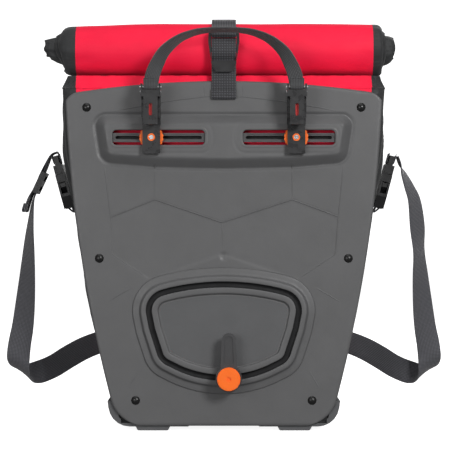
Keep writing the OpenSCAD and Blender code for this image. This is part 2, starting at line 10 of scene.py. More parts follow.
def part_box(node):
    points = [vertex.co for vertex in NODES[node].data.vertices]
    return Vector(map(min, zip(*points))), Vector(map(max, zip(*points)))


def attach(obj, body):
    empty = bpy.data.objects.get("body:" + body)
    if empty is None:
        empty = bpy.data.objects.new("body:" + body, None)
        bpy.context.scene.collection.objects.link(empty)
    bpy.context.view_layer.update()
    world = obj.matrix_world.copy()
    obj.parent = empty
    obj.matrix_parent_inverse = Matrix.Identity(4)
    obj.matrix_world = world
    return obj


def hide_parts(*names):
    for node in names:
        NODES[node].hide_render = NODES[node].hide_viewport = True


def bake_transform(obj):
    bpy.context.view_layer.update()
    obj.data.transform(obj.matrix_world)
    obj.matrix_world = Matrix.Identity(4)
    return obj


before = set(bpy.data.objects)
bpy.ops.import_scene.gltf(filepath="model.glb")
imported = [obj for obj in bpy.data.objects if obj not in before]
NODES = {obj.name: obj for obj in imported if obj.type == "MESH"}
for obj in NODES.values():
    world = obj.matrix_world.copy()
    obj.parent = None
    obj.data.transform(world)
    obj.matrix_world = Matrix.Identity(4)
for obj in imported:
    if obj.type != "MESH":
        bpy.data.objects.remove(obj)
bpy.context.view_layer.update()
MM = 0.001

# ---------------------------------------------------------------- materials


class Shader:
    """A Principled material whose colour, roughness and relief come from procedural textures."""

    def __init__(self, name, color, roughness, metallic=0.0, specular=0.5, coords="Object"):
        self.material = bpy.data.materials.new(name)
        self.material.use_nodes = True
        self.tree = self.material.node_tree
        self.shader = self.tree.nodes["Principled BSDF"]
        self.color = (*color, 1.0)
        self.roughness = roughness
        self.shader.inputs["Base Color"].default_value = self.color
        self.shader.inputs["Roughness"].default_value = roughness
        self.shader.inputs["Metallic"].default_value = metallic
        self.shader.inputs["Specular IOR Level"].default_value = specular
        self.coords = self.node("ShaderNodeTexCoord").outputs[coords]
        self.relief = None

    def node(self, kind, **values):
        made = self.tree.nodes.new(kind)
        for key, value in values.items():
            if key in made.inputs:
                made.inputs[key].default_value = value
            else:
                setattr(made, key, value)
        return made

    def link(self, a, b):
        self.tree.links.new(a, b)

    def mapped(self, scale):
        mapping = self.node("ShaderNodeMapping", Scale=scale)
        self.link(self.coords, mapping.inputs["Vector"])
        return mapping.outputs["Vector"]

    def noise(self, size, detail=3.0, rough=0.5, stretch=(1, 1, 1)):
        texture = self.node("ShaderNodeTexNoise", Scale=1 / size, Detail=detail, Roughness=rough)
        self.link(self.mapped(stretch), texture.inputs["Vector"])
        return texture.outputs["Fac"]

    def ribs(self, pitch, direction, profile="SIN"):
        texture = self.node("ShaderNodeTexWave", Scale=math.pi / 10 / pitch)
        texture.bands_direction = direction
        texture.wave_profile = profile
        self.link(self.coords, texture.inputs["Vector"])
        return texture.outputs["Fac"]

    def cells(self, size, feature="F1"):
        texture = self.node("ShaderNodeTexVoronoi", Scale=1 / size)
        texture.feature = feature
        self.link(self.coords, texture.inputs["Vector"])
        return texture.outputs["Distance"]

    def math(self, operation, a, b):
        made = self.node("ShaderNodeMath", operation=operation)
        for value, socket in ((a, made.inputs[0]), (b, made.inputs[1])):
            if isinstance(value, (int, float)):
                socket.default_value = value
            else:
                self.link(value, socket)
        return made.outputs[0]

    def ramp(self, fac, low, high, start=0.0, end=1.0):
        made = self.node("ShaderNodeMapRange")
        self.link(fac, made.inputs["Value"])
        for key, value in (("From Min", start), ("From Max", end), ("To Min", low), ("To Max", high)):
            made.inputs[key].default_value = value
        return made.outputs["Result"]

    def shade(self, fac, dark=0.8, light=1.2, start=0.3, end=0.7):
        """The base colour, made darker and lighter by a texture."""
        mix = self.node("ShaderNodeMix", data_type="RGBA")
        self.link(self.ramp(fac, 0.0, 1.0, start, end), mix.inputs["Factor"])
        for key, value in (("A", dark), ("B", light)):
            for socket in mix.inputs:
                if socket.type == "RGBA" and socket.name == key:
                    socket.default_value = (*[min(1, c * value) for c in self.color[:3]], 1)
        output = [s for s in mix.outputs if s.type == "RGBA"][0]
        self.link(output, self.shader.inputs["Base Color"])
        return self

    def rough(self, fac, spread):
        self.link(
            self.ramp(fac, self.roughness - spread, self.roughness + spread, 0.3, 0.7),
            self.shader.inputs["Roughness"],
        )
        return self

    def bump(self, height, distance, strength=1.0):
        made = self.node("ShaderNodeBump", Strength=strength, Distance=distance)
        self.link(height, made.inputs["Height"])
        if self.relief:
            self.link(self.relief, made.inputs["Normal"])
        self.relief = made.outputs["Normal"]
        self.link(self.relief, self.shader.inputs["Normal"])
        return self

    def sheen(self, weight, rough=0.5):
        self.shader.inputs["Sheen Weight"].default_value = weight
        self.shader.inputs["Sheen Roughness"].default_value = rough
        return self


def plastic(name, color, roughness, grain=0.0006, depth=0.00004, variation=0.1, specular=0.4):
    made = Shader(name, color, roughness, specular=specular)
    made.shade(made.noise(0.03, 4.0, 0.6), 1 - variation, 1 + variation)
    made.rough(made.noise(0.006, 4.0), 0.07)
    made.bump(made.noise(0.045, 2.0), 0.0006, 0.35)
    return made.bump(made.noise(grain, 2.0), depth).material


def metal(name, color, roughness, stretch=(1, 1, 14)):
    made = Shader(name, color, roughness, metallic=1.0)
    made.shade(made.noise(0.004, 3.0), 0.85, 1.1)
    made.rough(made.noise(0.002, 4.0, stretch=stretch), 0.1)
    return made.bump(made.noise(0.0012, 3.0, stretch=stretch), 0.00003).material


def coated_cloth(name, color, roughness, weave, depth, variation, sheen):
    made = Shader(name, color, roughness, specular=0.22)
    made.shade(made.noise(0.06, 4.0, 0.6), 1 - variation, 1 + variation)
    made.rough(made.noise(0.01, 3.0), 0.06)
    grid = made.math("MULTIPLY", made.ribs(weave, "Z"), made.math("ADD", made.ribs(weave, "X"), made.ribs(weave, "Y")))
    made.bump(grid, depth)
    made.bump(made.noise(0.02, 3.0, 0.6), 0.0008, 0.5)
    return made.sheen(sheen).material


def webbing_cloth(name, color, pitch=0.0016, strands=0.0021):
    made = Shader(name, color, 0.62, specular=0.3, coords="UV")
    across = made.ribs(pitch, "Y")
    along = made.ribs(strands, "X")
    weave = made.math("MULTIPLY", across, along)
    made.shade(weave, 0.55, 1.5, 0.05, 0.75)
    made.bump(weave, 0.00035)
    made.bump(made.noise(0.0005, 2.0), 0.0001, 0.6)
    return made.sheen(0.35, 0.4).material


def reflective(name):
    made = Shader(name, (0.62, 0.63, 0.65), 0.3, metallic=0.6)
    made.shade(made.cells(0.0022), 0.75, 1.15, 0.1, 0.6)
    return made.bump(made.cells(0.0022, "DISTANCE_TO_EDGE"), 0.0001).material


PLATE = plastic("plate_grey", (0.092, 0.092, 0.094), 0.46, 0.0009, 0.00006, 0.05, 0.45)
# Slightly darker and rougher than the plate: partly its satin finish, partly painted shade for the recess inside the
# ring.
SHIELD = plastic("shield_grey", (0.086, 0.087, 0.09), 0.52, 0.0009, 0.00006, 0.05, 0.4)
# Near-black, for painted shade on the walls and floor of the ring's groove.
GROOVE = plastic("groove_shade", (0.012, 0.012, 0.013), 0.6, 0.0008, 0.00006, 0.1, 0.2)
GUARD = plastic("guard_grey", (0.085, 0.086, 0.09), 0.5, 0.0008, 0.00006, 0.08)
BLACK = plastic("black_plastic", (0.012, 0.012, 0.013), 0.36, 0.0005, 0.00003, 0.15, 0.4)
RIVET = plastic("rivet_black", (0.006, 0.006, 0.006), 0.3, 0.0006, 0.00002, 0.15, 0.35)
HOOK = plastic("hook_black", (0.016, 0.016, 0.017), 0.3, 0.0005, 0.00003, 0.15, 0.5)
ARM = plastic("arm_grey", (0.036, 0.036, 0.038), 0.42, 0.0006, 0.00004, 0.1, 0.5)
ORANGE = plastic("orange_plastic", (1.0, 0.155, 0.006), 0.42, 0.0006, 0.00003, 0.08)
MARKER = plastic("marker_red", (0.6, 0.02, 0.02), 0.4, 0.0006, 0.00003, 0.1)
BATTEN = plastic("batten_white", (0.75, 0.75, 0.72), 0.5, 0.001, 0.00003, 0.06)
RAIL = plastic("rail_dark", (0.05, 0.05, 0.052), 0.4, 0.0005, 0.00003, 0.1, 0.6)
STEEL = metal("steel", (0.72, 0.72, 0.74), 0.25)
RED = coated_cloth("red_cloth", (0.9, 0.009, 0.05), 0.6, 0.0011, 0.00003, 0.05, 0.03)
DARK = coated_cloth("dark_cloth", (0.03, 0.031, 0.032), 0.5, 0.0014, 0.00012, 0.18, 0.1)
WEB = webbing_cloth("grey_webbing", (0.05, 0.05, 0.056), 0.0026, 0.0026)
HANDLE_WEB = webbing_cloth("handle_webbing", (0.062, 0.063, 0.066), 0.0013, 0.0016)
STRAP_WEB = webbing_cloth("strap_webbing", (0.1, 0.1, 0.112), 0.0014, 0.0016)
THREAD = Shader("thread", (0.05, 0.05, 0.052), 0.6)
THREAD.shade(THREAD.noise(0.001), 0.7, 1.3)
THREAD = THREAD.bump(THREAD.noise(0.0004), 0.0001).material
REFLECT = reflective("reflective_film")

# ---------------------------------------------------------------- mesh tools


def smooth(t):
    t = max(0.0, min(1.0, t))
    return t * t * (3 - 2 * t)


def unit(v):
    return v / np.linalg.norm(v)


def to_object(name, points, faces, materials, indices=None, uv=None, soft=True):
    """A mesh object from points in millimetres."""
    mesh = bpy.data.meshes.new(name)
    mesh.from_pydata([tuple(c * MM for c in p) for p in points], [], faces)
    for material in materials:
        mesh.materials.append(material)
    if indices is not None:
        mesh.polygons.foreach_set("material_index", indices)
    if uv is not None:
        layer = mesh.uv_layers.new(name="UVMap")
        for loop in mesh.loops:
            layer.data[loop.index].uv = uv[loop.vertex_index]
    if soft:
        mesh.shade_smooth()
    mesh.validate()
    mesh.update()
    made = bpy.data.objects.new(name, mesh)
    bpy.context.scene.collection.objects.link(made)
    return made


def with_modifier(made, kind, apply=False, **values):
    modifier = made.modifiers.new(kind.lower(), kind)
    for key, value in values.items():
        setattr(modifier, key, value)
    if apply:
        settled(made)
    return made


def settled(made):
    """Applies every modifier."""
    bpy.context.view_layer.update()
    graph = bpy.context.evaluated_depsgraph_get()
    mesh = bpy.data.meshes.new_from_object(made.evaluated_get(graph))
    made.modifiers.clear()
    made.data = mesh
    return made


def grid_faces(rows, columns, closed=False):
    last = columns if closed else columns - 1
    return [
        (r * columns + c, r * columns + (c + 1) % columns, (r + 1) * columns + (c + 1) % columns, (r + 1) * columns + c)
        for r in range(rows - 1)
        for c in range(last)
    ]


def arc(x, y, r, start, end, steps):
    angles = np.radians(np.linspace(start, end, steps + 1))
    return [(x + r * math.cos(a), y + r * math.sin(a)) for a in angles]


def rounded(corners, steps=8):
    """A closed outline from corners of (x, z, radius)."""
    outline = []
    for i, (x, z, r) in enumerate(corners):
        if not r:
            outline.append((x, z))
            continue
        b = np.array((x, z))
        u = unit(np.array(corners[i - 1][:2]) - b)
        v = unit(np.array(corners[(i + 1) % len(corners)][:2]) - b)
        half = math.acos(max(-1, min(1, float(u @ v)))) / 2
        middle = b + unit(u + v) * r / math.sin(half)
        first, final = b + u * r / math.tan(half) - middle, b + v * r / math.tan(half) - middle
        start = math.degrees(math.atan2(first[1], first[0]))
        turn = (math.degrees(math.atan2(final[1], final[0])) - start + 180) % 360 - 180
        outline += arc(middle[0], middle[1], r, start, start + turn, steps)
    return np.array(outline)


def resampled(points, step=None, count=None, closed=False):
    points = np.array(points, float)
    if closed:
        points = np.vstack([points, points[:1]])
    along = np.concatenate([[0], np.cumsum(np.linalg.norm(np.diff(points, axis=0), axis=1))])
    n = count or max(2, int(along[-1] / step)) + 1
    places = np.linspace(0, along[-1], n + 1 if closed else n)
    made = np.column_stack([np.interp(places, along, points[:, k]) for k in range(points.shape[1])])
    return made[:-1] if closed else made


def grown(outline, d):
    """A closed outline moved outwards by d; it runs anticlockwise."""
    t = np.roll(outline, -1, 0) - np.roll(outline, 1, 0)
    t /= np.linalg.norm(t, axis=1)[:, None]
    return outline + d * np.column_stack([t[:, 1], -t[:, 0]])


def distance(points, outline):
    """Signed distance of points from a closed outline, negative inside."""
    ends = np.roll(outline, -1, 0)
    best = np.full(len(points), 1e9)
    inside = np.zeros(len(points), bool)
    for a, b in zip(outline, ends):
        e, w = b - a, points - a
        t = np.clip((w @ e) / max(e @ e, 1e-12), 0, 1)
        best = np.minimum(best, np.hypot(*(w - np.outer(t, e)).T))
        if a[1] != b[1]:
            crosses = (a[1] > points[:, 1]) != (b[1] > points[:, 1])
            inside ^= crosses & (points[:, 0] < a[0] + (points[:, 1] - a[1]) / (b[1] - a[1]) * (b[0] - a[0]))
    return np.where(inside, -best, best)


def curve_through(route, step=3.0):
    """A smooth line through the route's points, of any number of values each."""
    route = np.array(route, float)
    padded = np.vstack([2 * route[0] - route[1], route, 2 * route[-1] - route[-2]])
    fine = []
    for i in range(1, len(padded) - 2):
        a, b, c, d = padded[i - 1 : i + 3]
        n = max(2, int(np.linalg.norm((c - b)[:3]) / step) + 1)
        for t in np.linspace(0, 1, n, endpoint=False):
            square, cube = (2 * a - 5 * b + 4 * c - d) * t**2, (3 * b - a - 3 * c + d) * t**3
            fine.append(0.5 * (2 * b + (c - a) * t + square + cube))
    return np.array(fine + [padded[-2]])


def length_of(points):
    return float(np.linalg.norm(np.diff(np.array(points)[:, :3], axis=0), axis=1).sum())


def ribbon(name, route, side, width, thickness, material, step=2.0, wide=None):
    """Woven tape along a route of (x, y, z, twist); side is its flat face's direction where twist is 0.
    With wide, its width keeps that one direction, and the twist isn't used."""
    line = curve_through(route, step)
    side = None if side is None else np.array(side, float)
    section = [(-0.5, 0), (-0.492, 0.32), (-0.46, 0.46), (-0.25, 0.5)]
    section += [(0, 0.5), (0.25, 0.5), (0.46, 0.46), (0.492, 0.32)]
    section += [(-a, -b) for a, b in section]
    points, uv, travelled = [], [], 0.0
    for i, p in enumerate(line):
        t = unit(line[min(i + 1, len(line) - 1)][:3] - line[max(i - 1, 0)][:3])
        if i:
            travelled += float(np.linalg.norm(p[:3] - line[i - 1][:3]))
        if wide is None and len(p) == 4:
            a = math.radians(p[3])
            face = -math.cos(a) * side + math.sin(a) * unit(np.cross(side, t))
            w = unit(np.cross(t, face))
        else:
            w = np.array(p[3:6] if wide is None else wide, float)
            w = unit(w - (w @ t) * t)
        k = unit(np.cross(t, w))
        for across, out in section:
            points.append(p[:3] + w * across * width + k * out * thickness)
            uv.append((across * width * MM, travelled * MM))
    n = len(section)
    faces = grid_faces(len(line), n, closed=True)
    faces += [tuple(range(n)), tuple(len(line) * n - 1 - i for i in range(n))]
    made = to_object(name, points, faces, [material], uv=uv)
    return made, line


def flat_route(points, x=0.0):
    """A route in a plane of constant x, with its flat face across x."""
    return [(x, y, z, 0) for y, z in points]


def stitches(name, lines, pitch=3.2, long=2.2, radius=0.32):
    """Rows of thread lying along lines of points."""
    points, faces = [], []
    for line in lines:
        line = np.array(line, float)
        run = length_of(line)
        spots = resampled(line, count=max(2, int(run / pitch) + 1))
        for i in range(len(spots) - 1):
            d = unit(spots[i + 1] - spots[i])
            u = unit(np.cross(d, (0.3, 0.5, 0.8)))
            v = np.cross(d, u)
            base = len(points)
            for s, r in ((0, 0.25), (0.25, 1), (0.75, 1), (1, 0.25)):
                for a in range(6):
                    q = math.radians(60 * a)
                    points.append(spots[i] + d * s * long + (u * math.cos(q) + v * math.sin(q)) * radius * r)
            for ring in range(3):
                near, far = base + ring * 6, base + ring * 6 + 6
                for a in range(6):
                    b = (a + 1) % 6
                    faces.append((near + a, near + b, far + b, far + a))
            faces += [tuple(base + 5 - a for a in range(6)), tuple(base + 18 + a for a in range(6))]
    return to_object(name, points, faces, [THREAD])


def joined(name, parts):
    """One mesh object from several."""
    made = bmesh.new()
    materials = []
    for part in parts:
        base = len(made.faces)
        made.from_mesh(part.data)
        made.faces.ensure_lookup_table()
        for material in part.data.materials:
            if material not in materials:
                materials.append(material)
        for face in made.faces[base:]:
            face.material_index = materials.index(part.data.materials[face.material_index])
    mesh = bpy.data.meshes.new(name)
    made.to_mesh(mesh)
    made.free()
    for material in materials:
        mesh.materials.append(material)
    for part in parts:
        bpy.data.objects.remove(part)
    whole = bpy.data.objects.new(name, mesh)
    bpy.context.scene.collection.objects.link(whole)
    return whole


def finished(made, body, slot, *nodes):
    """A piece that rides on a body and stands for CAD nodes."""
    if body:
        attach(made, body)
    if nodes:
        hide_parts(*nodes)
    return made


# ---------------------------------------------------------------- camera, light and floor

camera = bpy.data.objects.new("camera", bpy.data.cameras.new("camera"))
bpy.context.scene.collection.objects.link(camera)
VIEW_DISTANCE, VIEW_WIDTH = 2.1, 0.459
camera.location = (0.0012, -0.08 - VIEW_DISTANCE, 0.210)
camera.rotation_euler = (math.radians(90), 0, 0)
camera.data.sensor_width = 36
camera.data.lens = 36 * VIEW_DISTANCE / VIEW_WIDTH
bpy.context.scene.camera = camera
bpy.context.scene.view_settings.view_transform = "Standard"


def area_light(name, place, target, size, power, tint=(1, 1, 1)):
    lamp = bpy.data.lights.new(name, "AREA")
    lamp.shape = "RECTANGLE"
    lamp.size, lamp.size_y = size
    lamp.energy = power
    lamp.color = tint
    made = bpy.data.objects.new(name, lamp)
    made.location = place
    made.rotation_euler = (Vector(target) - Vector(place)).to_track_quat("-Z", "Y").to_euler()
    bpy.context.scene.collection.objects.link(made)


area_light("key", (0.9, -1.9, 0.95), (0, -0.08, 0.22), (0.5, 0.5), 27)
area_light("top", (0.0, -0.7, 1.9), (0, 0, 0.25), (1.6, 1.0), 8)
area_light("fill", (-0.9, -2.0, 0.35), (0, 0, 0.2), (0.9, 0.9), 12)
area_light("back", (0.6, 2.0, 1.2), (0, 0, 0.2), (1.6, 1.6), 11)

world = bpy.data.worlds.new("studio")
world.use_nodes = True
world.node_tree.nodes["Background"].inputs["Color"].default_value = (1, 1, 1, 1)
world.node_tree.nodes["Background"].inputs["Strength"].default_value = 0.26
bpy.context.scene.world = world

floor_paint = Shader("floor_paint", (0.93, 0.93, 0.93), 0.85)
floor_paint.shade(floor_paint.noise(0.5), 0.995, 1.005)
floor_paint.shader.inputs["Emission Color"].default_value = (1, 1, 1, 1)
floor_paint.shader.inputs["Emission Strength"].default_value = 0.9
floor = to_object("floor", [(-9000, -9000, -0.4), (9000, -9000, -0.4), (9000, 9000, -0.4), (-9000, 9000, -0.4)],
                  [(0, 1, 2, 3)], [floor_paint.material])
floor.visible_diffuse = floor.visible_glossy = False

# A white backdrop all round, which lights nothing itself.
sky_paint = Shader("sky_paint", (1, 1, 1), 1.0)
sky_paint.shade(sky_paint.noise(3.0), 0.999, 1.0)
sky_paint.shader.inputs["Emission Color"].default_value = (1, 1, 1, 1)
sky_paint.shader.inputs["Emission Strength"].default_value = 1.1
SKY_RADIUS = 8800
sky_angles = np.radians(np.arange(0, 360, 5))
sky_points = [(SKY_RADIUS * math.cos(a), SKY_RADIUS * math.sin(a), z) for z in (-10, 9000) for a in sky_angles]
sky = to_object("backdrop", sky_points, grid_faces(2, 72, closed=True), [sky_paint.material])
sky.visible_diffuse = sky.visible_glossy = sky.visible_shadow = sky.visible_transmission = False

# ---------------------------------------------------------------- shoulder strap

FOLD_START, FOLD_RADIUS = np.array([221, 34.5, 70.0]), 13.0
FOLD_LINE, FOLD_OUT, FOLD_ROUND = np.array([-0.8, 0, -0.6]), np.array([0, -1.0, 0]), np.array([0.6, 0, -0.8])


def fold_row(a):
    """A row of the strap where it turns over, round a slanting fold."""
    c, s = math.cos(a), math.sin(a)
    p = FOLD_START + FOLD_RADIUS * ((c - 1) * FOLD_OUT + s * FOLD_ROUND + 0.75 * a * FOLD_LINE)
    return (*p, *(0.6 * (c * FOLD_ROUND - s * FOLD_OUT) - 0.8 * FOLD_LINE))


# Each row is a point and the direction of the webbing's width there.
STRAP_HALF = [
    (184.5, 12, 283, 0, 1, 0), (187.6, 12, 274, 0, 1, 0), (191.4, 12, 264.5, 0, 1, 0), (197.5, 12.3, 250, 0, 1, 0),
    (203, 13.5, 235, 0.15, 1, 0), (206.5, 17, 208, 0.35, 0.93, 0), (208.5, 21, 182, 0.55, 0.83, 0),
    (210.5, 25, 154, 0.72, 0.69, 0), (213, 29, 127, 0.86, 0.5, 0), (216, 32.5, 102, 0.95, 0.3, 0),
    (219.5, 34.2, 83, 1, 0.1, 0), *[fold_row(math.radians(a)) for a in range(0, 181, 30)],
    (185, 70, 56.5, 0.2, 0.1, 0.97), (171, 84, 65, 0.1, 0.3, 0.93), (156, 98, 73, 0, 0.45, 0.9),
    (140, 110, 79, 0, 0.4, 0.9), (122, 118, 83, 0, 0.2, 0.98), (100, 121, 85, 0, 0, 1),
    (70, 121, 86, 0, 0, 1), (35, 121, 86, 0, 0, 1), (0, 121, 86, 0, 0, 1),
]
# The right side has turned further round to the camera near its top.
TURNED = {250: (0.5, 0.86, 0), 235: (0.6, 0.8, 0), 208: (0.68, 0.73, 0), 264.5: (0.3, 0.95, 0)}
strap_route = [(*p[:3], *TURNED.get(p[2], p[3:])) for p in STRAP_HALF]
strap_route += [(-x, y, z, -a, b, c) for x, y, z, a, b, c in reversed(STRAP_HALF[:-1])]
shoulder, shoulder_line = ribbon("shoulder_webbing", strap_route, None, 25, 1.6, STRAP_WEB, 3.0)
finished(shoulder, "bag", "webbing", "shoulder_strap")

for sign, hand in ((1, "right"), (-1, "left")):
    # The strap's end turns round the plug's bar and is sewn back on itself.
    tilt = math.radians(15)
    def at_side(x, y, z, sign=sign):
        c, s = math.cos(tilt), math.sin(tilt)
        return (sign * (164 + x * c + z * s), 12 + y, 229 - x * s + z * c)

    around = [(-3.4, 58), (-3.6, 50), (-3.3, 47.8), (-1.5, 46.6), (1.0, 46.6), (3.1, 48.2), (3.7, 52), (3.6, 57)]
    loop_route = [(*at_side(x, 0, z), 0) for x, z in around]
    loop, _ = ribbon(f"strap_end_{hand}", loop_route, (0, 1, 0), 24.4, 1.2, STRAP_WEB, 1.5, (0, 1, 0))
    seam = [[at_side(4.5, y, z) for y, z in ((-9, 54.5), (9, 54.5), (9, 59), (-9, 59), (-9, 54.5))]]
    sewn = stitches(f"strap_end_seam_{hand}", seam, 2.6, 1.8)
    finished(loop, "bag", "webbing", f"strap_loop_{hand}")
    finished(sewn, "bag", "webbing")

    tab_route = [(*at_side(x, 0, z), 0) for x, z in
                 ((-9.6, -17.4), (-6.0, -10), (-3.2, -4), (-2.6, 3.4), (0, 5.2),
                  (2.5, 3.4), (1.9, 0.4), (0.1, -2.6), (-2.5, -6.2))]
    tab, _ = ribbon(f"buckle_tab_{hand}", tab_route, (0, 1, 0), 24, 1.1, STRAP_WEB, 1.5, (0, 1, 0))
    finished(tab, "bag", "webbing", f"side_tab_{hand}")
# The strap's left end comes back through the slider, and its free end hangs below.
RETURN_ROUTE = [
    (-176.5, 12, 287.5, 0, 1, 0), (-183, 12, 284.5, 0, 1, 0), (-189.5, 12, 274, 0, 1, 0),
    (-195.3, 12.1, 262.5, 0, 1, 0), (-196.8, 12.2, 258.6, 0, 1, 0),
]
FREE_ROUTE = [
    (-198.0, 12.2, 252.4, 0, 1, 0), (-202.4, 12.5, 246, 0.05, 1, 0), (-206.5, 13, 238, 0.1, 1, 0),
    (-209.5, 13.2, 229, 0.12, 1, 0), (-210.6, 13.2, 225, 0.12, 1, 0), (-212, 13.2, 224.4, 0.12, 1, 0),
    (-212.4, 13.2, 226, 0.12, 1, 0), (-210.6, 13.1, 233, 0.1, 1, 0),
]
back_strand, _ = ribbon("strap_return", RETURN_ROUTE, None, 24.6, 1.3, STRAP_WEB, 2.0)
free_end, _ = ribbon("strap_free_end", FREE_ROUTE, None, 24.6, 1.3, STRAP_WEB, 2.0)
for piece in (back_strand, free_end):
    finished(piece, "bag", "webbing")

# ---------------------------------------------------------------- back plate

SHOULDER_HEIGHT, PLATE_HALF, PLATE_TOP, PLATE_LOW = 335.6, 161.5, 357.0, 5.0
PLATE_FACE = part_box("plate_rivets")[0][1] / MM + 2.0
BAG_BACK = -76.0


def plate_half(z):
    d = SHOULDER_HEIGHT - min(z, SHOULDER_HEIGHT)
    return PLATE_HALF - 0.0434 * d - 0.0003575 * d * d


def plate_line(zb):
    """Half the plate's width at the unarched height zb, with its rounded corners."""
    if zb > 345:
        return 149.6 + math.sqrt(max(0, 144 - (zb - 345) ** 2))
    if zb < 31:
        return plate_half(zb) - 26 + math.sqrt(max(0, 676 - (31 - zb) ** 2))
    return plate_half(zb)


TRACK_R, TRACK_Z = 112.0, 166.6
track_line = rounded(
    [(-63, 73, 15)]
    + [(TRACK_R * math.sin(math.radians(a)), TRACK_Z - TRACK_R * math.cos(math.radians(a)), 0)
       for a in range(-24, 25, 2)]
    + [(63, 73, 15), (73, 104, 0), (79.5, 136.5, 19)]
    + [(x, 149.5 - x * x / 480, 0) for x in range(54, -55, -9)]
    + [(-79.5, 136.5, 19), (-73, 104, 0)], 14)
track_line = resampled(track_line, step=2.2, closed=True)
panel_line = rounded([(-125, 274, 14), (-70, 269.5, 0), (0, 268, 0), (70, 269.5, 0), (125, 274, 14), (132.5, 322, 11),
                      (-132.5, 322, 11)], 10)


def slot_line(side):
    x, z, half = side * 66.3, 299, 46.9
    corners = [(x - half, z - 7.5, 4), (x + half, z - 7.5, 4), (x + half, z + 7.5, 4), (x - half, z + 7.5, 4)]
    return rounded(corners, 8)


levels = sorted([5, 5.25, 5.8, 6.6, 7.8] + [v for v in np.arange(9, 354, 1.35)] + [354.4, 355.3, 356.1, 356.7, 357])
across = np.linspace(-1, 1, 239)
across = np.array(sorted(list(across) + [s * (1 - k) for s in (-1, 1) for k in (0.0012, 0.003, 0.0055)]))
flat_points = []
for zb in levels:
    arch = smooth((zb - 325) / 32)
    for u in across:
        x = u * plate_line(zb)
        flat_points.append((x, zb - arch * x * x / 1980))
flat_points = np.array(flat_points)
rows, columns = len(levels), len(across)
from_track = distance(flat_points, track_line)
from_panel = distance(flat_points, panel_line)
from_slots = np.minimum(distance(flat_points, slot_line(-1)), distance(flat_points, slot_line(1)))
edge = np.array([
    min((1 - abs(u)) * plate_line(zb), zb - PLATE_LOW, PLATE_TOP - zb) for zb in levels for u in across])

ease = np.clip(-from_panel / 9.5, 0, 1)
height = 7.8 * (0.35 * ease * ease * (3 - 2 * ease) + 0.65 * ease)
height -= 1.1 * np.exp(-((from_panel - 0.8) / 1.5) ** 4)
height -= 1.7 * (1 - np.sqrt(1 - (1 - np.clip(edge / 3.2, 0, 1)) ** 2))
height -= 0.35 * np.exp(-(((from_slots - 8.4) / 0.9) ** 2)) * (from_slots < 12)
dimple = np.hypot(flat_points[:, 0], flat_points[:, 1] - 178)
height -= 0.9 * np.exp(-((dimple / 3.6) ** 4))
swell = np.exp(-((flat_points[:, 0] / 90) ** 2) - ((flat_points[:, 1] - 215) / 45) ** 2)
height -= 0.6 * swell * (from_panel > 0)
facet_lines = [
    [(-122, 271), (-115.5, 218), (-113.7, 180), (-75, 154)], [(122, 271), (116.8, 218.6), (113.7, 180), (75, 154)],
    [(-115.5, 218), (-70.6, 236), (-2, 212.6), (69.7, 236), (116.8, 218.6)],
    [(-70.6, 236), (-70.6, 271)], [(69.7, 236), (69.7, 271)], [(-2, 212.6), (-1, 186)],
    [(-113, 326), (-60, 336), (-19, 341), (19, 341), (66, 335.5), (112, 327)],
    [(-19, 341), (-20.5, 356)], [(19, 341), (20.5, 356)],
    [(-94, 146), (-118, 132)], [(94, 146), (118, 132)], [(-88, 60), (-97, 44)], [(88, 60), (97, 44)],
]
hexagons = [rounded([(-115.5, 218, 0), (-113.7, 180, 0), (-75, 154, 0), (-2, 180, 0), (-2, 212.6, 0), (-70.6, 236, 0)]),
            rounded([(116.8, 218.6, 0), (69.7, 236, 0), (-2, 212.6, 0), (-2, 180, 0), (75, 154, 0), (113.7, 180, 0)])]
for outline in hexagons:
    if distance(np.array([[outline[:, 0].mean(), outline[:, 1].mean()]]), outline)[0] < 0:
        inside = distance(flat_points, outline)
        height -= 0.35 * np.clip(-inside / 2.2 + 0.5, 0, 1)

plate_points = [(x, PLATE_FACE - h, z) for (x, z), h in zip(flat_points, height)]
cells = grid_faces(rows, columns)
hidden = (from_track < 13.2) | (from_slots < 2.4)
cells = [c for c in cells if not all(hidden[i] for i in c)]
rim = list(range(columns)) + [(r + 1) * columns - 1 for r in range(1, rows)]
rim += [(rows - 1) * columns + c for c in range(columns - 2, -1, -1)] + [r * columns for r in range(rows - 2, 0, -1)]
base = len(plate_points)
plate_points += [(plate_points[i][0], PLATE_FACE + 2.9, plate_points[i][2]) for i in rim]
for k in range(len(rim)):
    n = (k + 1) % len(rim)
    cells.append((rim[n], rim[k], base + k, base + n))
moulding = to_object("plate_sheet", plate_points, cells, [PLATE])


def frame_round(name, outline, profile, material, dark=()):
    """A moulding swept round a closed outline; its profile is (distance outwards, height), and dark is the span
    of profile rows that takes the near-black second material, as painted shade."""
    points = []
    for out, high in profile:
        for x, z in grown(outline, out):
            points.append((x, PLATE_FACE - high, z))
    faces = [tuple(reversed(f)) for f in grid_faces(len(profile), len(outline), closed=True)]
    tones = [1 if dark and dark[0] <= r < dark[1] else 0 for r in range(len(profile) - 1) for _ in range(len(outline))]
    return to_object(name, points, faces, [material, GROOVE], tones)


ring_profile = [
    (17.8, -0.5), (17.1, 0.1), (16.9, 1.0), (16.4, 1.45), (15.6, 1.6), (12.5, 1.9), (10.6, 2.1), (9.8, 2.4), (9.1, 3.6),
    (8.4, 5.2), (7.8, 5.75), (6.9, 6.0), (4.2, 6.0), (3.5, 5.95), (3.12, 5.75), (2.98, 5.3), (2.96, 4.1), (5.7, 4.0),
    (5.7, 0.85), (-5.7, 0.85), (-5.7, 4.0), (-2.96, 4.1), (-2.98, 5.3), (-3.12, 5.75), (-3.5, 5.95), (-4.2, 6.0),
    (-7.6, 6.0), (-8.6, 5.85), (-9.2, 5.4), (-9.5, 4.6), (-9.7, 3.7), (-10.0, 3.3), (-10.8, 3.2), (-11.6, 3.35),
]
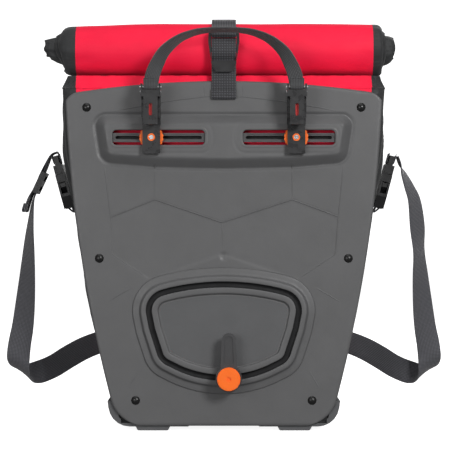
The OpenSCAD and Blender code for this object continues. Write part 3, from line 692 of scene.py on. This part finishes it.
# The groove's walls and floor (profile rows 15 to 21) take the near-black material as painted shade.
ring = frame_round("plate_ring", track_line, ring_profile, PLATE, (15, 22))
shield = resampled(grown(track_line, -11.6), count=len(track_line), closed=True)
middle = np.array([0.0, 106.0])
shield_points, shield_rings = [], 14
for k in range(shield_rings):
    t = 1 - k / shield_rings
    for p in shield:
        q = middle + (p - middle) * t
        shield_points.append((q[0], PLATE_FACE - 3.35 + 0.45 * (1 - t) * (1 - t), q[1]))
shield_points.append((middle[0], PLATE_FACE - 2.9, middle[1]))
n = len(shield)
shield_faces = [tuple(reversed(f)) for f in grid_faces(shield_rings, n, closed=True)]
first = (shield_rings - 1) * n
shield_faces += [(first + c, len(shield_points) - 1, first + (c + 1) % n) for c in range(n)]
inner = to_object("plate_shield", shield_points, shield_faces, [SHIELD])

slot_profile = [(3.6, 7.6), (3.0, 7.86), (2.2, 7.95), (0.9, 7.95), (0.35, 7.8)]
slot_profile += [(0.05, 7.4), (0, 6.8), (0, 4.9), (3, 4.85)]
frames = [frame_round(f"slot_frame_{k}", resampled(slot_line(k), step=0.9, closed=True), slot_profile, PLATE)
          for k in (-1, 1)]

ridges = []
for k, line in enumerate(facet_lines):
    line = resampled(line, step=2.5)
    points = []
    for i, p in enumerate(line):
        t = unit(line[min(i + 1, len(line) - 1)] - line[max(i - 1, 0)])
        normal = np.array([-t[1], t[0]])
        fade = min(1, i / 4, (len(line) - 1 - i) / 4)
        ridge = 0.32 * fade
        for off, high in ((-1.0, -0.5), (-0.55, 0.02), (-0.2, ridge), (0.2, ridge), (0.55, 0.02), (1.0, -0.5)):
            q = p + normal * off
            points.append((q[0], q[1], high))
    spots = np.array([(q[0], q[1]) for q in points])
    nearest = []
    for x, z in spots:
        zb = z + smooth((z - 325) / 32) * x * x / 1980
        row = min(rows - 1, max(0, int(np.searchsorted(levels, zb))))
        column = min(columns - 1, max(0, int(np.searchsorted(across, x / plate_line(levels[row])))))
        nearest.append(height[row * columns + column])
    points = [(q[0], PLATE_FACE - h - q[2], q[1]) for q, h in zip(points, nearest)]
    ridges.append(to_object(f"ridge_{k}", points, grid_faces(len(line), 6), [PLATE]))

plate = joined("plate_moulding", [moulding, ring, inner, *frames, *ridges])
finished(plate, "bag", "plate_grey", "back_plate")

# ---------------------------------------------------------------- bag cloth


def bag_half(z):
    return plate_half(z) - 1.5 + 6 * smooth((z - 230) / 60)


def bag_front(z):
    return 117 - 34 * ((150 - z) / 142) ** 2 if z < 150 else 117 - 62 * ((z - 150) / 200) ** 2


FRONT_CORNER, BACK_CORNER = 30, 12


def side_line(side, z, count):
    """The bag's outline at the height z for one panel: 0 front, 1 left, 2 back, 3 right."""
    h, f = bag_half(z) - FRONT_CORNER, bag_front(z) - FRONT_CORNER
    g, b = bag_half(z) - BACK_CORNER, BAG_BACK + BACK_CORNER
    arcs = {
        0: ((h, f, FRONT_CORNER, 45, 90), (-h, f, FRONT_CORNER, 90, 135)),
        1: ((-h, f, FRONT_CORNER, 135, 180), (-g, b, BACK_CORNER, 180, 225)),
        2: ((-g, b, BACK_CORNER, 225, 270), (g, b, BACK_CORNER, 270, 315)),
        3: ((g, b, BACK_CORNER, 315, 360), (h, f, FRONT_CORNER, 0, 45)),
    }[side]
    if side == 2:
        straight = [(x, BAG_BACK) for x in np.linspace(-1, 1, count - 20) * min(151, g)]
        return np.array(arc(*arcs[0], 9) + straight + arc(*arcs[1], 9))
    return resampled([p for a in arcs for p in arc(*a, 10)], count=count)


def wrinkle(p, n):
    """How far the cloth stands out at a point: broad sags, and folds that run into the rim and the corners."""
    x, y, z = p
    v = Vector((x, y, z))
    broad = noise.noise(v * 0.011 + Vector((3, 1, 7))) * 2.2
    folds = noise.noise(Vector((x * 0.016, y * 0.016, z * 0.05 + 5))) * 1.6
    crease = -abs(noise.noise(Vector((x * 0.02 + z * 0.012, y * 0.02, z * 0.022 - x * 0.01)))) * 2.2
    rim = smooth((z - 268) / 70)
    foot = 1 - smooth((z - 12) / 50)
    size = 0.55 + 0.8 * rim + 0.5 * foot
    out = (broad + folds + crease) * size - 0.6
    if n[1] < -0.7:
        out = min(0.15, out * 0.15) - 0.3
    elif y < -40:
        out *= 0.45
    return out * smooth((z - 8) / 8)


def settled_cloth(points, faces, pinned, cap, growth, pressure, frames=18):
    """The points after the cloth has grown and buckled a little, with none further than cap from its place."""
    made = to_object("settling", points, faces, [])
    group = made.vertex_groups.new(name="held")
    group.add(pinned, 1.0, "REPLACE")
    cloth = made.modifiers.new("cloth", "CLOTH")
    settings = cloth.settings
    settings.quality = 5
    settings.mass = 0.25
    settings.tension_stiffness = settings.compression_stiffness = 14
    settings.shear_stiffness = 6
    settings.bending_stiffness = 0.35
    settings.vertex_group_mass = "held"
    settings.shrink_min = -growth
    settings.use_pressure = pressure != 0
    settings.uniform_pressure_force = pressure
    settings.effector_weights.gravity = 0.6
    cloth.point_cache.frame_start, cloth.point_cache.frame_end = 1, frames
    scene = bpy.context.scene
    for step in range(1, frames + 1):
        scene.frame_set(step)
        made.evaluated_get(bpy.context.evaluated_depsgraph_get())
    shape = made.evaluated_get(bpy.context.evaluated_depsgraph_get()).to_mesh()
    after = np.array([v.co for v in shape.vertices]) / MM
    scene.frame_set(1)
    bpy.data.objects.remove(made)
    moved = after - np.array(points, float)
    size = np.linalg.norm(moved, axis=1)
    return np.array(points, float) + moved * (np.minimum(size, cap) / np.maximum(size, 1e-9))[:, None]


heights = np.concatenate([[9.2, 11, 14], np.arange(19, 348, 4.8), [350.0]])
COUNTS = {3: 56, 0: 96, 1: 56}
shell = []
for z in heights:
    line = np.vstack([side_line(3, z, COUNTS[3])[:-1], side_line(0, z, COUNTS[0])[:-1], side_line(1, z, COUNTS[1])])
    for i, (x, y) in enumerate(line):
        t = unit(line[min(i + 1, len(line) - 1)] - line[max(i - 1, 0)])
        d = wrinkle((x, y, z), (t[1], -t[0]))
        shell.append((x + t[1] * d, y - t[0] * d, z))
n_rows, n_columns = len(heights), sum(COUNTS.values()) - 2
seams = {"right": COUNTS[3] - 1, "left": COUNTS[3] + COUNTS[0] - 2}
held = [r * n_columns + c for r in range(n_rows) for c in range(n_columns)
        if r < 3 or r == n_rows - 1 or c < 9 or c >= n_columns - 9]
shell = settled_cloth(shell, grid_faces(n_rows, n_columns), held, 6.5, 0.02, 0.6).reshape(n_rows, n_columns, 3)


def cloth_piece(name, points, material, slot, nodes, tones=None, materials=None):
    rows_here, columns_here = points.shape[:2]
    made = to_object(name, points.reshape(-1, 3), grid_faces(rows_here, columns_here), materials or [material], tones)
    with_modifier(made, "SOLIDIFY", thickness=1.2 * MM, offset=-1, use_even_offset=False)
    return finished(made, "bag", slot, *nodes)


cloth_piece("gusset_cloth_right", shell[:, : seams["right"] + 1], DARK, "fabric_dark", ["gusset_right"])
cloth_piece("front_cloth", shell[:, seams["right"] : seams["left"] + 1], RED, "fabric_red", ["bag_front_panel"])
cloth_piece("gusset_cloth_left", shell[:, seams["left"] :], DARK, "fabric_dark", ["gusset_left"])
back_count = 61
back = np.array([[(x, y + 0.3, z) for x, y in side_line(2, z, back_count)] for z in heights])
back_tones = [1 if c < 10 or c > back_count - 12 else 0 for r in range(n_rows - 1) for c in range(back_count - 1)]
for side in (-1, 1):
    lining = [(side * x, -76.75, 299, 0, 0, 1) for x in (15, 40, 66, 92, 117)]
    tape, _ = ribbon(f"rail_backing_{'left' if side < 0 else 'right'}", lining, None, 6.6, 0.5, DARK, 6.0)
    finished(tape, "bag", "fabric_dark")
cloth_piece("back_cloth", back, RED, "fabric_red", ["bag_back_panel"], back_tones, [RED, DARK])

# Welded tapes cover the seams between the front panel and the gussets.
for hand, column in seams.items():
    sign = 1 if hand == "right" else -1
    route = [(*(shell[r, column] + np.array([sign * 0.25, 0.25, 0])), 0) for r in range(2, n_rows, 2)]
    tape, _ = ribbon(f"seam_tape_{hand}", route, (sign * 0.707, 0.707, 0), 10, 0.9, DARK, 4.0)
    finished(tape, "bag", "fabric_dark")

# Reflective film welded to each gusset.
for hand in ("right", "left"):
    column_range = [c for c in range(n_columns) if -58 <= shell[n_rows // 2, c][1] <= -38
                    and (shell[n_rows // 2, c][0] > 0) == (hand == "right")]
    row_range = [r for r in range(n_rows) if 116 <= heights[r] <= 174]
    patch = shell[row_range[0] : row_range[-1] + 1, column_range[0] : column_range[-1] + 1].copy()
    patch[..., 0] += 0.7 * (1 if hand == "right" else -1)
    film = to_object(f"reflector_film_{hand}", patch.reshape(-1, 3), grid_faces(*patch.shape[:2]), [REFLECT])
    with_modifier(film, "SOLIDIFY", thickness=0.5 * MM, offset=-1)
    finished(film, "bag", "reflector", f"reflector_{hand}")

# The base: a cloth tray filling the bag's outline.
tray_points, tray_rows = [], 12
for k in range(tray_rows):
    t = 1 - k / tray_rows
    for side in range(4):
        for x, y in side_line(side, 9.2, 30)[:-1]:
            ripple = 0.5 * noise.noise(Vector((x * t, y * t, 3)) * 0.03)
            tray_points.append((x * t, (y - 10) * t + 10, 8.1 + 1.0 * (1 - t) * t + ripple))
n = len(tray_points) // tray_rows
tray_faces = grid_faces(tray_rows, n, closed=True) + [tuple((tray_rows - 1) * n + c for c in range(n))]
tray = to_object("base_cloth", tray_points, tray_faces, [DARK])
with_modifier(tray, "SOLIDIFY", thickness=1.2 * MM, offset=1)
finished(tray, "bag", "fabric_dark", "bag_base")

# ---------------------------------------------------------------- collar and roll

ROLL_Y, ROLL_Z, ROLL_DEPTH, ROLL_HALF = -52.0, 392.0, 24.0, 28.3
COLLAR_STEPS = 18
collar_counts = (60, 26, 60, 26)


def collar_top(side, count):
    h, r, near, far = 161.0, 9.0, -67.0, -30.0
    arcs = {
        0: ((h - r, far - r, r, 45, 90), (-h + r, far - r, r, 90, 135)),
        1: ((-h + r, far - r, r, 135, 180), (-h + r, near + r, r, 180, 225)),
        2: ((-h + r, near + r, r, 225, 270), (h - r, near + r, r, 270, 315)),
        3: ((h - r, near + r, r, 315, 360), (h - r, far - r, r, 0, 45)),
    }[side]
    if side == 2:
        return np.array(arc(*arcs[0], 9) + [(x, near) for x in np.linspace(-151, 151, count - 20)] + arc(*arcs[1], 9))
    return resampled([p for a in arcs for p in arc(*a, 8)], count=count)


collar_points, tone = [], []
for k in range(COLLAR_STEPS):
    t = k / (COLLAR_STEPS - 1)
    for side in range(4):
        low = side_line(side, 350, collar_counts[side] + 1)[:-1]
        high = collar_top(side, collar_counts[side] + 1)[:-1]
        for i, (a, b) in enumerate(zip(low, high)):
            p = a + (b - a) * t
            roof = side == 0 or p[1] > -40
            z = 350 + 13.4 * (smooth(t) * 0.55 + t * 0.45 if not roof else 1 - (1 - t) ** 1.7)
            ripple = noise.noise(Vector((p[0] * 0.02, p[1] * 0.03, 9.0))) * 1.6 * math.sin(math.pi * t)
            if side == 2:
                p = p + np.array([0, ripple * 0.6])
            else:
                z += ripple - 0.9 * math.sin(math.pi * t)
            collar_points.append((p[0], p[1], z))
            if k == 0:
                tone.append(1 if (a[0] > 150.9 or a[0] < -151.1 if side == 2 else abs(a[0]) > 151) else 0)
n = sum(collar_counts)
collar_faces = grid_faces(COLLAR_STEPS, n, closed=True)
collar_held = list(range(n)) + list(range((COLLAR_STEPS - 1) * n, COLLAR_STEPS * n))
collar_points = settled_cloth(collar_points, collar_faces, collar_held, 3.0, 0.03, 0.4)
collar_tones = [tone[c % n] for k in range(COLLAR_STEPS - 1) for c in range(n)]
collar = to_object("collar_cloth", collar_points, collar_faces, [RED, DARK], collar_tones)
with_modifier(collar, "SOLIDIFY", apply=True, thickness=1.1 * MM, offset=-1)
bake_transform(collar)
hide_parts("roll_collar")

TURNS, TURN_STEPS = 3.2, 64
RED_HALF, ROLL_SPAN = 152, 172
RED_SHARE = RED_HALF / ROLL_SPAN
stations = sorted(set(list(np.linspace(-1, 1, 97)) + [-RED_SHARE, RED_SHARE * 1.02]))
angles = np.linspace(0, 360 * TURNS, int(TURN_STEPS * TURNS))
roll_points = []
for a in angles:
    turn = a / 360
    inner, core = smooth((turn - 0.85) / 0.5), smooth((turn - 1.75) / 0.5)
    level = math.sin(math.radians(-90 - a))
    ragged = noise.noise(Vector((turn * 5.3, 4, 1))), noise.noise(Vector((turn * 4.7, 9, 5)))
    left_end = -(167.5 - 2.6 * max(0, -level) + 5.5 * inner + 12.0 * core + 3.4 * ragged[0])
    right_end = 162.5 + 3.5 * inner + 9.5 * core + 2.8 * ragged[1]
    for s in stations:
        x = s * RED_HALF / RED_SHARE if abs(s) <= RED_SHARE else None
        if x is None or abs(x) > RED_HALF:
            t = (abs(s) - RED_SHARE) / (1 - RED_SHARE)
            x = -RED_HALF + (left_end + RED_HALF) * t if s < 0 else RED_HALF + (right_end - RED_HALF) * t
        past = abs(x) - (156 if x < 0 else 160)
        scale = 1 - 0.17 * turn - 0.02 * smooth(turn)
        taper = (0.34 if x < 0 else 0.26) * smooth(past / 30)
        hem = 0.08 * smooth((t if abs(x) > RED_HALF else 0) * 4 - 3)
        scale *= 1 - taper - hem
        angle = math.radians(-90 - a)
        droop = 0.13 * smooth((-x - 70) / 110) + 0.10 * smooth((x - 154) / 14)
        deep = scale * (1 - 0.05 * smooth((abs(x) - 120) / 50))
        up = scale * (1 - droop * (1 if math.sin(angle) > 0 else 0.25))
        size = 0.5 + 2.6 * smooth((abs(x) - 120) / 46)
        v = Vector((x * 0.018, math.cos(angle) * 0.9, math.sin(angle) * 0.9 + 6 * turn))
        bulge = noise.noise(v) * size + 0.5 * size * noise.noise(v * 2.7)
        pinch = 2.6 * math.exp(-((x / 30) ** 2)) * max(0, -math.cos(angle)) ** 2
        y = ROLL_Y + (ROLL_DEPTH * deep - 0.6 + bulge * 0.6 - pinch) * math.cos(angle)
        z = ROLL_Z + (ROLL_HALF * up - 0.6 + bulge * 0.6) * math.sin(angle)
        roll_points.append((x, y, z))
n = len(stations)
roll_faces = grid_faces(len(angles), n)
mid = [(stations[c] + stations[c + 1]) / 2 for c in range(n - 1)]
row_tones = [1 if m < -RED_SHARE or m > RED_SHARE * 1.01 else 0 for m in mid]
roll_tones = row_tones * (len(angles) - 1)
roll = to_object("rolled_cloth", roll_points, roll_faces, [RED, DARK], roll_tones)
with_modifier(roll, "SOLIDIFY", thickness=1.3 * MM, offset=0)
finished(roll, "roll_top", "fabric_red", "rolled_top", "roll_core")

# ---------------------------------------------------------------- closure strap and buckle tail

over = [(bag_front(z) + 1.3, z) for z in (282, 296, 312, 330, 346)]
for a in np.radians((18, 34, 50, 66, 82, 98, 114, 130)):
    over.append((ROLL_Y + (ROLL_DEPTH + 1.3) * math.cos(a), ROLL_Z + (ROLL_HALF + 1.3) * math.sin(a)))
BAR_Y, BAR_Z, BAR_LOOP = -82, 405, 3.5
for a in np.radians((70, 95, 120, 150, 180, 210, 240, 262)):
    over.append((BAR_Y + BAR_LOOP * math.cos(a), BAR_Z + BAR_LOOP * math.sin(a)))
strap, _ = ribbon("closure_webbing", flat_route(over), (0, 1, 0), 25, 1.5, WEB, 1.5, (1, 0, 0))
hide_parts("closure_strap")
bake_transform(strap)
box_seam = [[(x, bag_front(z) + 2.4, z) for x, z in ((-9, 285), (9, 285), (9, 303), (-9, 303), (-9, 285), (9, 303))],
            [(x, bag_front(z) + 2.4, z) for x, z in ((9, 285), (-9, 303))]]
finished(stitches("closure_strap_seam", box_seam), "bag", "webbing")

anchor_line = [(-76.6, 338), (-76.7, 348), (-76.9, 357), (-77.5, 366), (-78.1, 390)]
behind, _ = ribbon("closure_anchor_webbing", flat_route(anchor_line), (0, 1, 0), 25, 0.9, WEB, 2.0, (1, 0, 0))
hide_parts("closure_strap_anchor")
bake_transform(behind)

tail_line = [
    (-83.5, 400.2), (-83.5, 393), (-83.5, 386.5), (-82.4, 382.6), (-80.0, 378.6), (-79.4, 374), (-79.4, 366),
    (-80.1, 362), (-81.2, 358), (-81.3, 350), (-81.3, 341), (-81.6, 339.3), (-82.6, 338.7), (-83.6, 339.3),
    (-83.8, 341), (-83.8, 349),
]
tail, _ = ribbon("closure_tail_webbing", flat_route(tail_line), (0, 1, 0), 25, 1.3, WEB, 1.2, (1, 0, 0))
finished(tail, "top_buckle", "webbing", "closure_strap_tail")
tail_seam = [[(-10.5, -84.6, z), (10.5, -84.6, z)] for z in (342.4, 347.2)]
finished(stitches("closure_tail_seam", tail_seam, 2.6, 1.9), "top_buckle", "webbing")

# ---------------------------------------------------------------- carrying handle

HANDLE_HALF = [
    (-73, -115, 352.5, 0), (-72, -115, 358, 4), (-70, -114.5, 365, 14), (-66.5, -113.5, 373, 27),
    (-61, -112, 383, 40), (-53, -110, 391.5, 52), (-44, -108, 398, 62), (-35.5, -106, 402, 68),
    (-26, -104.5, 405, 73), (-14, -103.5, 406.7, 77), (0, -103, 407.3, 79),
]
handle_route = HANDLE_HALF + [(-x, y, z, a) for x, y, z, a in reversed(HANDLE_HALF[:-1])]
band, _ = ribbon("handle_band", handle_route, (0, 1, 0), 15, 1.7, HANDLE_WEB, 1.8)
parts = [band]
for sign in (-1, 1):
    x = sign * 73.5
    around = [(-113.9, 357.5), (-113.4, 353), (-112.2, 350), (-112.0, 348.3), (-113.0, 346.5),
              (-114.9, 346.1), (-116.3, 347.4), (-116.6, 349.2), (-116.1, 352), (-115.9, 357)]
    loop, _ = ribbon(f"handle_loop_{sign}", flat_route(around, x), (0, 1, 0), 14.4, 0.9, HANDLE_WEB, 1.0, (1, 0, 0))
    parts.append(loop)
handle = joined("handle_webbing", parts)
finished(handle, "handle", "webbing", "carry_handle")
handle_seam = [[(s * 73.0 + x, -116.35, 355.5) for x in (-5.5, 5.5)] for s in (-1, 1)]
finished(stitches("handle_seam", handle_seam, 2.2, 1.6, 0.25), "handle", "webbing")

# ---------------------------------------------------------------- hardware kept from the CAD model

KEPT = {
    "plate_rivets": (RIVET, 0.0), "rivet_washers": (STEEL, 0.1), "rail_screws": (STEEL, 0.1),
    "hook_rail_left": (RAIL, 0.2), "hook_rail_right": (RAIL, 0.2),
    "base_guard_left": (GUARD, 0.6), "base_guard_right": (GUARD, 0.6),
    "roll_batten": (BATTEN, 0.2),
    "closure_buckle": (BLACK, 0.7), "track_nut": (STEEL, 0.2), "lower_hook": (ARM, 0.8), "lower_knob": (ORANGE, 0.5),
    "lower_screw": (STEEL, 0.1), "strap_slider": (BLACK, 0.5),
}
for hand in ("left", "right"):
    KEPT.update({
        f"hook_{hand}": (HOOK, 0.0), f"lock_marker_{hand}": (MARKER, 0.1), f"latch_pivot_{hand}": (STEEL, 0.15),
        f"clamp_nut_{hand}": (STEEL, 0.3), f"clamp_screw_{hand}": (STEEL, 0.15),
        f"adjuster_wheel_{hand}": (ORANGE, 0.3), f"latch_{hand}": (HOOK, 0.0),
        f"handle_pin_{hand}": (STEEL, 0.2), f"side_socket_{hand}": (BLACK, 0.6),
        f"side_plug_{hand}": (BLACK, 0.6), f"prong_front_{hand}": (BLACK, 0.4), f"prong_back_{hand}": (BLACK, 0.4),
    })
for name, (material, radius) in KEPT.items():
    part = NODES[name]
    part.data.materials.clear()
    part.data.materials.append(material)
    if radius:
        with_modifier(part, "BEVEL", width=radius * MM, segments=3, limit_method="ANGLE", angle_limit=math.radians(35),
                      harden_normals=True)
